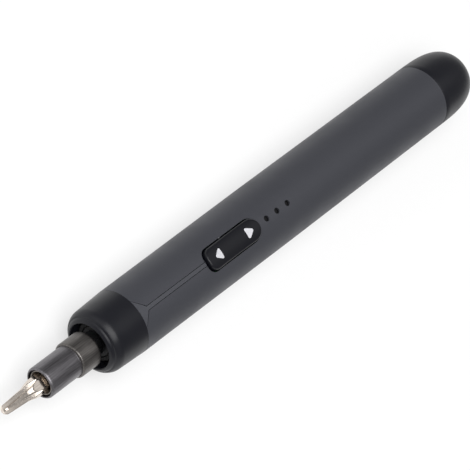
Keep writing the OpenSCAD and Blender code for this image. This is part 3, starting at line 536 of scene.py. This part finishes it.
class RockerButton(bpy.types.Operator):
    """Build the dished rocker button and its two arrows"""
    bl_idname = "screwdriver.rocker_button"
    bl_label = "Rocker button and arrows"

    def execute(self, context):
        edge = context.scene.screwdriver_looks.button_edge / MM
        low, high = span("rocker_button")
        length, half = high.x - low.x, (high.y - low.y) / 2
        middle = (low.x + high.x) / 2
        proud, dish, corner, skirt = 0.95, 0.5, 2.35, 5.65
        crown, floor = TUBE_R + proud, AXIS + skirt

        def top(x, y, drop=0.0):
            """Height of the dished crown, which also curves with the tube."""
            t = max(-1, min(1, (x - middle) / (length / 2)))
            r = crown - dish * math.cos(math.pi / 2 * t) ** 2 - drop
            return AXIS + math.sqrt(r * r - y * y)

        def outline(inset, steps=16):
            """Squarish front end, fully round rear end, drawn in by inset."""
            width = half - inset
            r = min(max(corner - inset, 0.02), width)
            # Each arc: centre, radius, its two angles and the parts of the straight after it
            arcs = [((low.x + inset + r, width - r), r, 180, 90, 28),
                    ((high.x - half, 0), width, 90, -90, 28),
                    ((low.x + inset + r, r - width), r, -90, -180, 8)]
            bends = []
            for (x, y), radius, start, stop, parts in arcs:
                count = steps * (start - stop) // 90
                turns = [math.radians(start + (stop - start) * i / count)
                         for i in range(count + 1)]
                bends.append([(x + radius * math.cos(a), y + radius * math.sin(a))
                              for a in turns])
            points = []
            for bend, after, arc in zip(bends, bends[1:] + bends[:1], arcs):
                a, b, parts = Vector(bend[-1]), Vector(after[0]), arc[-1]
                points += bend + [tuple(a.lerp(b, step / parts)) for step in range(1, parts)]
            return points

        insets = (0, 0.02, 0.06, 0.12, 0.2, 0.3, 0.45, 0.7, 1, 1.3, 1.6, 1.9, 2.2, 2.5, 2.7,
                  half - 0.001)
        rings = [[(middle, 0, floor)], [(x, y, floor) for x, y in outline(0.0)]]
        for inset in insets:
            depth = max(edge - inset, 0)
            drop = edge - math.sqrt(max(edge * edge - depth * depth, 0))
            rings.append([(x, y, top(x, y, drop)) for x, y in outline(inset)])
        mesh = skin(rings)
        bmesh.ops.remove_doubles(mesh, verts=mesh.verts, dist=0.004 * MM)
        bmesh.ops.recalc_face_normals(mesh, faces=mesh.faces)
        button = piece("rocker_button_rolled", mesh, "rocker_button",
                       "polished_black_abs", sharp=50)
        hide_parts("rocker_button")
        self.inlay_arrows(top)
        return {"FINISHED"}

    def inlay_arrows(self, top):
        """Sets the two arrows into the crown, a hair proud of it, tips outwards."""
        low, high = span("arrow_inlays")
        half_w, arrow_l, soft = (high.y - low.y) / 2 * 0.88, 2.2, 0.4
        sink, proud = -0.4, 0.025
        arrows = []
        for way, tip in ((1, low.x), (-1, high.x)):
            base = tip + way * (arrow_l - soft)
            corners = [(tip + way * soft, 0), (base, half_w - soft), (base, soft - half_w)]
            centre = Vector((tip + way * arrow_l * 0.62, 0))
            edge_points = rounded(corners, soft)
            rings = [[(centre.x, centre.y, top(*centre) + sink)]]
            for share, rise in ((1, sink), (1, 0.0), (0.985, 0.015), (0.95, proud),
                                (0.75, proud), (0.5, proud), (0.25, proud)):
                ring = [centre + (p - centre) * share for p in edge_points]
                rings.append([(p.x, p.y, top(p.x, p.y) + rise) for p in ring])
            rings.append([(centre.x, centre.y, top(*centre) + proud)])
            arrows.append(skin(rings))
        made = piece("arrow_pair", joined(arrows), "arrow_inlays",
                     "white_abs_inlay", sharp=50)
        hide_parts("arrow_inlays")


def row_tree():
    """Geometry nodes that repeat an object's own mesh along a line, as separate real copies."""
    tree = bpy.data.node_groups.new("repeat_in_a_row", "GeometryNodeTree")
    face = tree.interface
    face.new_socket("Geometry", in_out="INPUT", socket_type="NodeSocketGeometry")
    count = face.new_socket("Count", in_out="INPUT", socket_type="NodeSocketInt")
    pitch = face.new_socket("Pitch", in_out="INPUT", socket_type="NodeSocketVector")
    coat = face.new_socket("Finish", in_out="INPUT", socket_type="NodeSocketMaterial")
    face.new_socket("Geometry", in_out="OUTPUT", socket_type="NodeSocketGeometry")
    given = put(tree, "NodeGroupInput")
    line = put(tree, "GeometryNodeMeshLine", {"Count": given.outputs["Count"],
               "Offset": given.outputs["Pitch"]})
    copies = put(tree, "GeometryNodeInstanceOnPoints", {"Points": line.outputs["Mesh"],
                 "Instance": given.outputs["Geometry"]})
    real = put(tree, "GeometryNodeRealizeInstances", {"Geometry": copies.outputs["Instances"]})
    dressed = put(tree, "GeometryNodeSetMaterial", {"Geometry": real.outputs["Geometry"],
                  "Material": given.outputs["Finish"]})
    put(tree, "NodeGroupOutput", {"Geometry": dressed.outputs["Geometry"]})
    return tree, count.identifier, pitch.identifier, coat.identifier


def repeat(made, number, pitch, finish_name):
    """Repeats a piece along a pitch (mm) and keeps the result as its mesh."""
    tree, count_id, pitch_id, coat_id = row_tree()
    row = made.modifiers.new("row", "NODES")
    row.node_group = tree
    row[count_id] = number
    row[pitch_id] = [p * MM for p in pitch]
    row[coat_id] = finish(finish_name)
    data = settle(made)
    data.shade_smooth()
    data.set_sharp_from_angle(angle=math.radians(40))


class IndicatorLenses(bpy.types.Operator):
    """Round lens ends of the light pipe, one in each indicator hole"""
    bl_idname = "screwdriver.indicator_lenses"
    bl_label = "Indicator lenses"

    def execute(self, context):
        lamp_low, lamp_high = span("indicator_leds")
        pipe_top = span("light_pipe")[1].z
        number, half_lamp, lens_r, sink = 3, 0.8, 0.7, -0.3
        first = lamp_low.x + half_lamp
        pitch = (lamp_high.x - lamp_low.x - 2 * half_lamp) / (number - 1)
        turns = [math.tau * i / 40 for i in range(40)]
        rings = [[(first, 0, pipe_top + sink)]]
        for r, z in ((lens_r, sink), (lens_r, 0.02), (lens_r * 0.93, 0.04), (lens_r * 0.75, 0.06),
                     (lens_r * 0.5, 0.07), (lens_r * 0.25, 0.075)):
            rings.append([(first + r * math.cos(a), r * math.sin(a), pipe_top + z)
                          for a in turns])
        rings.append([(first, 0, pipe_top + 0.08)])
        lenses = piece("indicator_lens_row", skin(rings), "light_pipe",
                       "smoked_polycarbonate")
        repeat(lenses, number, (pitch, 0, 0), "smoked_polycarbonate")
        return {"FINISHED"}


class ChipLegs(bpy.types.Operator):
    """Row of soldered legs along each side of the motor driver under the board"""
    bl_idname = "screwdriver.chip_legs"
    bl_label = "Chip legs"

    def execute(self, context):
        board_low = span("circuit_board")[0]
        start, under = board_low.x + 3.4, board_low.z
        number, pitch, half_leg = 4, 1.27, 0.2
        section = ((-half_leg, -0.07), (half_leg, -0.07), (half_leg, 0.02), (-half_leg, 0.02))
        for side, label in ((1, "left"), (-1, "right")):
            foot, knee, root = 3.35 * side, 2.85 * side, 2.45 * side
            path = [(foot, under - 0.02), (knee, under - 0.05), (knee - 0.15 * side, under - 0.5),
                    (root, under - 0.55)]
            rings = [[(start + dx, y, z + dz) for dx, dz in section] for y, z in path]
            poles = [[(start, y, z - 0.02)] for y, z in (path[0], path[-1])]
            legs = piece("chip_legs_" + label, skin(poles[:1] + rings + poles[1:]),
                         "circuit_board", "tinned_sheet")
            repeat(legs, number, (pitch, 0, 0), "tinned_sheet")
        return {"FINISHED"}


class Chuck(bpy.types.Operator):
    """Turn the collar and the sleeve of the keyless chuck with eased edges"""
    bl_idname = "screwdriver.chuck"
    bl_label = "Chuck"

    def execute(self, context):
        low, high = span("chuck_collar")
        sleeve_low, sleeve_high = span("chuck_sleeve")
        liner_low = span("hex_liner")[0]
        r, sleeve_r, liner_r = (radius_of(n) for n in ("chuck_collar", "chuck_sleeve",
                                                       "hex_liner"))
        seat, collar_ease = 0.03, 0.35
        collar = rolled([(low.x, sleeve_r + seat, 0.05), (low.x, r - 0.3, 0.12),
                         (low.x + 0.3, r, 0.18), (high.x - collar_ease, r, 0.18),
                         (high.x, r - collar_ease, 0.12), (high.x, liner_r + seat, 0),
                         (sleeve_high.x + seat, liner_r + seat, 0),
                         (sleeve_high.x + seat, sleeve_r + seat, 0)])
        made = piece("chuck_collar_turned", turned(collar), "chuck_collar",
                     "brushed_black_nickel_steel")
        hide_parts("chuck_collar")
        self.line()
        bore_r, groove_end = liner_r + 0.35, liner_low.x + 0.95
        # A fine groove parts the sleeve from the collar
        groove_r = sleeve_r - 0.07
        sleeve = rolled([(groove_end, bore_r, 0), (sleeve_low.x + 0.08, bore_r, 0.1),
                         (sleeve_low.x, bore_r + 0.1, 0.06), (sleeve_low.x, sleeve_r - 0.32, 0.2),
                         (sleeve_low.x + 0.42, sleeve_r, 0.32), (low.x - 0.3, sleeve_r, 0.04),
                         (low.x - 0.24, groove_r, 0.03), (low.x - 0.1, groove_r, 0.03),
                         (low.x - 0.05, sleeve_r, 0.03),
                         (sleeve_high.x, sleeve_r, 0.05), (sleeve_high.x, liner_r + seat, 0),
                         (groove_end, liner_r + seat, 0)])
        made = piece("chuck_sleeve_drawn", turned(sleeve), "chuck_sleeve",
                     "drawn_black_nickel_steel")
        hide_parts("chuck_sleeve")
        return {"FINISHED"}

    def line(self):
        """The hexagon liner: thin rim, countersunk mouth and hexagon bore."""
        low, high = span("hex_liner")
        r, bore = radius_of("hex_liner"), (span("screw_bit")[1].z - AXIS) + 0.05
        turns = [math.tau * i / SIDES for i in range(SIDES)]

        def ring(x, radius):
            return [(x, radius(a) * math.sin(a), AXIS + radius(a) * math.cos(a)) for a in turns]

        def bore_r(a):
            return bore / math.cos((a + math.pi / 6) % (math.pi / 3) - math.pi / 6)

        rings = [ring(x, lambda a, value=value: value) for x, value in
                 ((high.x, r), (low.x + 0.12, r), (low.x + 0.03, r - 0.04), (low.x, r - 0.1),
                  (low.x + 0.03, r - 0.2), (low.x + 0.12, r - 0.26))]
        rings += [ring(low.x + 1.5, bore_r), ring(high.x, bore_r)]
        made = piece("hex_liner_countersunk", skin(rings, loop=True), "hex_liner",
                     "ground_steel")
        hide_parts("hex_liner")


class ScrewBit(bpy.types.Operator):
    """Grind the hexagon bit with its four-flute cross tip"""
    bl_idname = "screwdriver.screw_bit"
    bl_label = "Screw bit"

    def execute(self, context):
        soft = context.scene.screwdriver_looks.bit_softness / MM
        low, high = span("screw_bit")
        flat = (high.z - low.z) / 2
        corner = flat / math.cos(math.radians(30))
        ground_l, shoulder_l, tip_l, chamfer_l = 10.8, 4.6, 0.9, 0.4
        shoulder_end = low.x + ground_l
        shoulder_start = shoulder_end - shoulder_l
        tip_r, root_r, web, least_r = 1.2, 1.56, 0.36, 0.05
        # A flute's sides meet at a little over a right angle
        opening = 1 / 1.05

        def run_out(x):
            """How far a flute has run out: slow behind the tip, quick at the shoulder."""
            return ((x - low.x) / (shoulder_end - 0.9 - low.x)) ** 2.3

        def least(values):
            """The least value, eased where two are close, as a ground edge is."""
            best = values[0]
            for value in values[1:]:
                gap = max(soft - abs(best - value), 0) / soft
                best = min(best, value) - gap * gap * soft / 4
            return best

        def turned_r(x):
            """Radius of the turned envelope: blunt tip, tapered blade, rolled shoulder."""
            along = x - low.x
            if along < tip_l:
                steps = ((0, 0.06), (0.03, 0.28), (0.1, 0.5), (0.22, 0.7), (0.4, 0.88),
                         (0.62, 1.04), (tip_l, tip_r))
                for (a, ra), (b, rb) in zip(steps, steps[1:]):
                    if along <= b:
                        return ra + (rb - ra) * (along - a) / (b - a)
            if x < shoulder_start:
                t = (along - tip_l) / (shoulder_start - low.x - tip_l)
                return tip_r + (root_r - tip_r) * t
            if x < shoulder_end:
                t = (x - shoulder_start) / (shoulder_end - shoulder_start)
                return root_r + (corner + 0.05 - root_r) * (1 - math.cos(math.pi * t)) / 2
            return corner + 0.05

        def bit_r(x, a):
            """Radius at a station and an angle, with hexagon, envelope and flutes."""
            hexagon = flat / math.cos((a + math.pi / 6) % (math.pi / 3) - math.pi / 6)
            off = (a + math.pi / 2) % (math.pi / 2) - math.pi / 4
            room = math.cos(off) - abs(math.sin(off)) * opening
            values = [hexagon, turned_r(x)]
            if room > 0.05:
                values.append((web + (root_r - web) * run_out(x)) / room)
            return max(least(values), least_r)

        stations = [low.x + d for d in (0, 0.015, 0.03, 0.06, 0.1, 0.16, 0.22, 0.3, 0.4, 0.5,
                                       0.62, 0.75, tip_l)]
        stations += [low.x + tip_l + 0.22 * i for i in range(1, 48)]
        stations += [high.x - 0.45, high.x - 0.2, high.x]
        turns = [math.tau * i / 240 for i in range(240)]
        rings = [[(low.x, 0, AXIS)]]
        for x in stations:
            chamfer = max(chamfer_l - (high.x - x), 0)
            reaches = [(a, bit_r(x, a) - chamfer) for a in turns]
            rings.append([(x, r * math.sin(a), AXIS + r * math.cos(a)) for a, r in reaches])
        rings.append([(high.x, 0, AXIS)])
        made = piece("screw_bit_ground", skin(rings), "screw_bit",
                     "nickel_plated_bit_steel", sharp=45)
        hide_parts("screw_bit")
        return {"FINISHED"}


def paper():
    """Matt paper that the camera and glossy surfaces see a little nearer to white."""
    material = bpy.data.materials.new("matt_paper_sweep")
    material.use_nodes = True
    tree = material.node_tree
    tree.nodes.clear()
    place = put(tree, "ShaderNodeTexCoord").outputs["Object"]
    fibre = put(tree, "ShaderNodeTexNoise", {"Vector": place, "Scale": 400.0}).outputs["Fac"]
    tone = put(tree, "ShaderNodeValToRGB", {"Fac": fibre})
    tone.color_ramp.elements[0].color = (0.9, 0.9, 0.9, 1)
    tone.color_ramp.elements[1].color = (0.93, 0.93, 0.93, 1)
    matt = put(tree, "ShaderNodeBsdfDiffuse", {"Color": tone.outputs["Color"]})
    glow = put(tree, "ShaderNodeEmission", {"Color": (1, 1, 1, 1), "Strength": 1.0})
    ray = put(tree, "ShaderNodeLightPath").outputs
    seen = put(tree, "ShaderNodeMath", {0: ray["Is Camera Ray"], 1: ray["Is Glossy Ray"]},
               operation="MAXIMUM")
    seen = put(tree, "ShaderNodeMath", {0: seen.outputs[0], 1: ray["Is Transmission Ray"]},
               operation="MAXIMUM")
    share = put(tree, "ShaderNodeMath", {0: seen.outputs[0], 1: 0.62}, operation="MULTIPLY")
    mixed = put(tree, "ShaderNodeMixShader", {0: share.outputs[0], 1: matt.outputs[0],
                2: glow.outputs[0]})
    put(tree, "ShaderNodeOutputMaterial", {"Surface": mixed.outputs[0]})
    return material


class Studio(bpy.types.Operator):
    """Pale floor, soft lamps and the camera"""
    bl_idname = "screwdriver.studio"
    bl_label = "Studio"

    def execute(self, context):
        scene = context.scene
        looks = scene.screwdriver_looks
        scene.view_settings.view_transform = "Standard"
        centre = Vector((0, 0, AXIS * MM))
        self.lay_floor(scene)
        self.light(scene, centre, looks.overhead_power)
        self.seat_camera(scene, centre, looks)
        return {"FINISHED"}

    def lay_floor(self, scene):
        reach, under = 4.0, -0.0002
        data = bpy.data.meshes.new("floor")
        data.from_pydata([(-reach, -reach, under), (reach, -reach, under),
                          (reach, reach, under), (-reach, reach, under)], [], [(0, 1, 2, 3)])
        floor = bpy.data.objects.new("floor", data)
        scene.collection.objects.link(floor)
        data.materials.append(paper())

    def light(self, scene, centre, overhead_power):
        world = bpy.data.worlds.new("studio_air")
        world.use_nodes = True
        air = world.node_tree.nodes["Background"].inputs
        air["Color"].default_value = (1, 1, 1, 1)
        air["Strength"].default_value = 0.32
        scene.world = world

        # Each lamp: name, place and size in metres, power in watts
        lamps = (("overhead", (-0.3, 0.0, 1.0), 0.9, overhead_power),
                 ("tail_panel", (0.75, -0.05, 0.95), 0.55, 0.5),
                 ("near_side", (-0.5, 0.9, 0.45), 0.7, 1.6),
                 ("far_side", (-0.2, -0.95, 0.4), 0.7, 0.35))
        for name, place, size, power in lamps:
            lamp = bpy.data.lights.new(name, "AREA")
            lamp.shape = "SQUARE"
            lamp.size = size
            lamp.energy = power
            holder = bpy.data.objects.new(name, lamp)
            holder.location = place
            aim = centre - Vector(place)
            holder.rotation_euler = aim.to_track_quat("-Z", "Y").to_euler()
            scene.collection.objects.link(holder)

    def seat_camera(self, scene, centre, looks):
        """Looks back along the tool from above its nose, with the bit at the lower left."""
        right = Vector((0.629, -0.538, 0.560)).normalized()
        back = Vector((-0.616, 0.094, 0.782)).normalized()
        up = back.cross(right).normalized()
        right = up.cross(back)
        shift_right, shift_up = 0.00273, 0.00166
        camera = bpy.data.cameras.new("camera")
        camera.lens = looks.camera_lens
        camera.sensor_width = 36
        camera.clip_start = 0.01
        seat = centre + back * looks.camera_distance - right * shift_right - up * shift_up
        holder = bpy.data.objects.new("camera", camera)
        turn = Matrix((right, up, back)).transposed().to_4x4()
        holder.matrix_world = Matrix.Translation(seat) @ turn
        scene.collection.objects.link(holder)
        scene.camera = holder


class ScrewdriverPanel(bpy.types.Panel):
    """Sidebar list of the pieces and their settings"""
    bl_idname = "VIEW3D_PT_screwdriver"
    bl_label = "Torque screwdriver"
    bl_space_type = "VIEW_3D"
    bl_region_type = "UI"
    bl_category = "Screwdriver"

    def draw(self, context):
        looks = context.scene.screwdriver_looks
        for name in ScrewdriverLooks.__annotations__:
            self.layout.prop(looks, name)
        for step in STEPS:
            self.layout.operator(step.bl_idname)


STEPS = (FinishPackedPieces, NoseCap, TailCap, RockerButton, IndicatorLenses, ChipLegs, Chuck,
         ScrewBit, Studio)


def register():
    for kind in (ScrewdriverLooks, *STEPS, ScrewdriverPanel):
        bpy.utils.register_class(kind)
    bpy.types.Scene.screwdriver_looks = bpy.props.PointerProperty(type=ScrewdriverLooks)


def unregister():
    del bpy.types.Scene.screwdriver_looks
    for kind in (ScrewdriverPanel, *reversed(STEPS), ScrewdriverLooks):
        bpy.utils.unregister_class(kind)


def main():
    """Builds every piece."""
    register()
    for step in STEPS:
        group, name = step.bl_idname.split(".")
        getattr(getattr(bpy.ops, group), name)()


if __name__ == "__main__":
    main()
